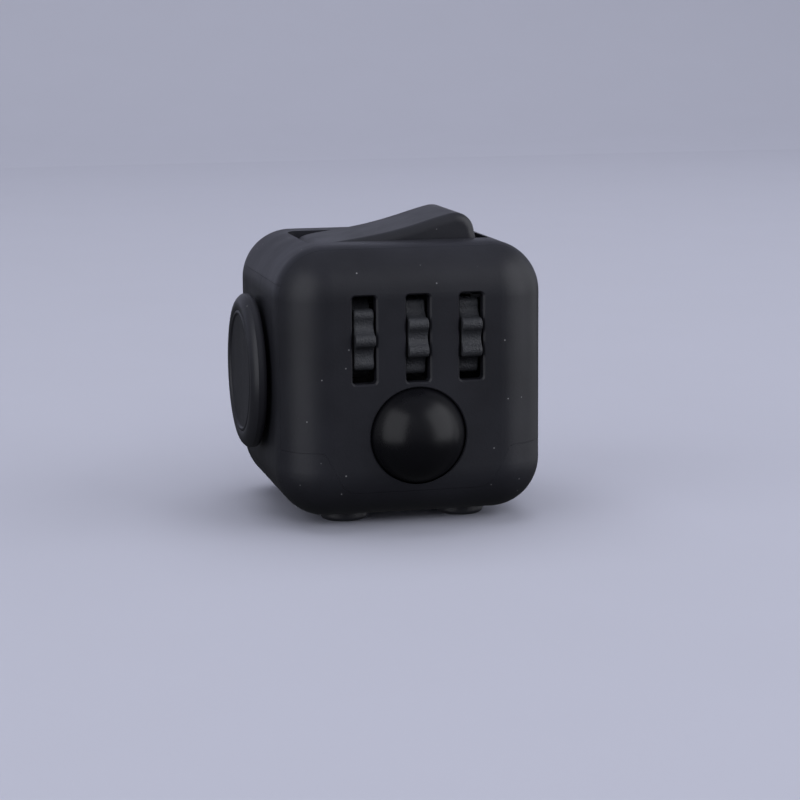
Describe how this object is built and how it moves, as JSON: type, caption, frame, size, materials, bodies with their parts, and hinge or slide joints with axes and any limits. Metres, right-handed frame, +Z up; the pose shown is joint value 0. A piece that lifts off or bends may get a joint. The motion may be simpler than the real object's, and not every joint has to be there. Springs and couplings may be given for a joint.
{
  "type": "fidget cube",
  "caption": "Palm-sized cube toy with rolling wheels and ball, a rocker switch, a gliding disc, a spin dial, click buttons and a thumb dent.",
  "frame": {"origin": "centre of the middle button's flat tip, under the centre of the cube body, in the plane of all five button tips", "axes": "+Z up through the switch face, -Y out of the roll face (wheels and ball), -X out of the glide disc face, +X out of the thumb-dent face, +Y out of the dial face"},
  "size_m": [0.0355, 0.0389, 0.0373],
  "materials": {
    "shell_plastic": "soft satin black, fine moulded texture",
    "control_plastic": "satin black",
    "wheel_plastic": "satin black, fine grain",
    "ball_plastic": "polished black",
    "frame_plastic": "plain moulded",
    "bearing_plastic": "waxy acetal",
    "rubber": "soft silicone",
    "felt": "pressed felt",
    "steel": "ground",
    "screw_steel": "blackened zinc",
    "spring_steel": "bright wire and strip"
  },
  "bodies": {
    "shell": {"back_cap": "shell_plastic", "ball_dome": "spring_steel", "board_screws": "screw_steel", "bottom_cap": "shell_plastic", "click_board": "frame_plastic", "click_dome_back_left": "spring_steel", "click_dome_centre": "spring_steel", "click_dome_front_right": "spring_steel", "core_frame": "frame_plastic", "core_screws": "screw_steel", "flip_bracket": "frame_plastic", "flip_screws": "screw_steel", "friction_ring": "felt", "front_cap": "shell_plastic", "glide_screws": "screw_steel", "glide_springs_lower": "spring_steel", "glide_springs_upper": "spring_steel", "glide_tray": "frame_plastic", "left_panel": "shell_plastic", "right_panel": "shell_plastic", "rocker_pins": "steel", "roll_bracket": "frame_plastic", "roll_screws": "screw_steel", "silent_pad_back_right": "rubber", "silent_pad_front_left": "rubber", "top_cap": "shell_plastic", "wheel_axle": "steel"},
    "wheel_left": {"roll_wheel_left": "wheel_plastic"},
    "wheel_middle": {"roll_wheel_middle": "wheel_plastic"},
    "wheel_right": {"roll_wheel_right": "wheel_plastic"},
    "ball_carrier": {"ball_carriage": "frame_plastic"},
    "ball_turntable": {"ball_race": "bearing_plastic"},
    "rolling_ball": {"ball": "ball_plastic"},
    "switch": {"flip_rocker": "control_plastic", "detent_plunger": "bearing_plastic", "detent_spring": "spring_steel"},
    "glide_cross": {"glide_slider": "bearing_plastic", "glide_spring_front": "spring_steel", "glide_spring_back": "spring_steel"},
    "glide_disc": {"thumb_cap": "control_plastic", "glide_stem": "frame_plastic", "thumb_screw": "screw_steel"},
    "dial": {"spin_dial": "control_plastic", "dial_washer": "steel", "dial_screw": "screw_steel"},
    "click_centre": {"button_centre": "control_plastic"},
    "click_front_left": {"button_front_left": "control_plastic"},
    "click_front_right": {"button_front_right": "control_plastic"},
    "click_back_left": {"button_back_left": "control_plastic"},
    "click_back_right": {"button_back_right": "control_plastic"}
  },
  "joints": [
    {"name": "wheel_left_roll", "type": "hinge", "parent": "shell", "child": "wheel_left", "pos_m": [-0.00658, -0.0126, 0.02331], "axis": [1, 0, 0], "continuous": true},
    {"name": "wheel_middle_roll", "type": "hinge", "parent": "shell", "child": "wheel_middle", "pos_m": [0, -0.0126, 0.02331], "axis": [1, 0, 0], "continuous": true},
    {"name": "wheel_right_roll", "type": "hinge", "parent": "shell", "child": "wheel_right", "pos_m": [0.00658, -0.0126, 0.02331], "axis": [1, 0, 0], "continuous": true},
    {"name": "ball_press", "type": "slide", "parent": "shell", "child": "ball_carrier", "axis": [0, 1, 0], "range_m": [0, 0.0008], "stiffness_N_per_m": 1500, "springref_m": -0.0005, "deforming": ["ball_dome"]},
    {"name": "ball_turn", "type": "hinge", "parent": "ball_carrier", "child": "ball_turntable", "pos_m": [0, -0.014, 0.0115], "axis": [0, 1, 0], "continuous": true},
    {"name": "ball_roll", "type": "hinge", "parent": "ball_turntable", "child": "rolling_ball", "pos_m": [0, -0.014, 0.0115], "axis": [1, 0, 0], "continuous": true},
    {"name": "switch_flip", "type": "hinge", "parent": "shell", "child": "switch", "pos_m": [0, 0, 0.0302], "axis": [0, 1, 0], "range_deg": [0, 24]},
    {"name": "glide_up_down", "type": "slide", "parent": "shell", "child": "glide_cross", "axis": [0, 0, 1], "range_m": [-0.0015, 0.0015], "stiffness_N_per_m": 250, "deforming": ["glide_springs_upper", "glide_springs_lower"]},
    {"name": "glide_fore_aft", "type": "slide", "parent": "glide_cross", "child": "glide_disc", "axis": [0, 1, 0], "range_m": [-0.0015, 0.0015], "stiffness_N_per_m": 250, "deforming": ["glide_spring_front", "glide_spring_back"]},
    {"name": "press_centre", "type": "slide", "parent": "shell", "child": "click_centre", "axis": [0, 0, 1], "range_m": [0, 0.0006], "stiffness_N_per_m": 1500, "springref_m": -0.0002, "deforming": ["click_dome_centre"]},
    {"name": "press_front_left", "type": "slide", "parent": "shell", "child": "click_front_left", "axis": [0, 0, 1], "range_m": [0, 0.0006], "stiffness_N_per_m": 1200, "springref_m": -0.0002, "deforming": ["silent_pad_front_left"]},
    {"name": "press_front_right", "type": "slide", "parent": "shell", "child": "click_front_right", "axis": [0, 0, 1], "range_m": [0, 0.0006], "stiffness_N_per_m": 1500, "springref_m": -0.0002, "deforming": ["click_dome_front_right"]},
    {"name": "press_back_left", "type": "slide", "parent": "shell", "child": "click_back_left", "axis": [0, 0, 1], "range_m": [0, 0.0006], "stiffness_N_per_m": 1500, "springref_m": -0.0002, "deforming": ["click_dome_back_left"]},
    {"name": "press_back_right", "type": "slide", "parent": "shell", "child": "click_back_right", "axis": [0, 0, 1], "range_m": [0, 0.0006], "stiffness_N_per_m": 1200, "springref_m": -0.0002, "deforming": ["silent_pad_back_right"]},
    {"name": "dial_spin", "type": "hinge", "parent": "shell", "child": "dial", "pos_m": [0, 0.0165, 0.0177], "axis": [0, 1, 0], "continuous": true}
  ]
}
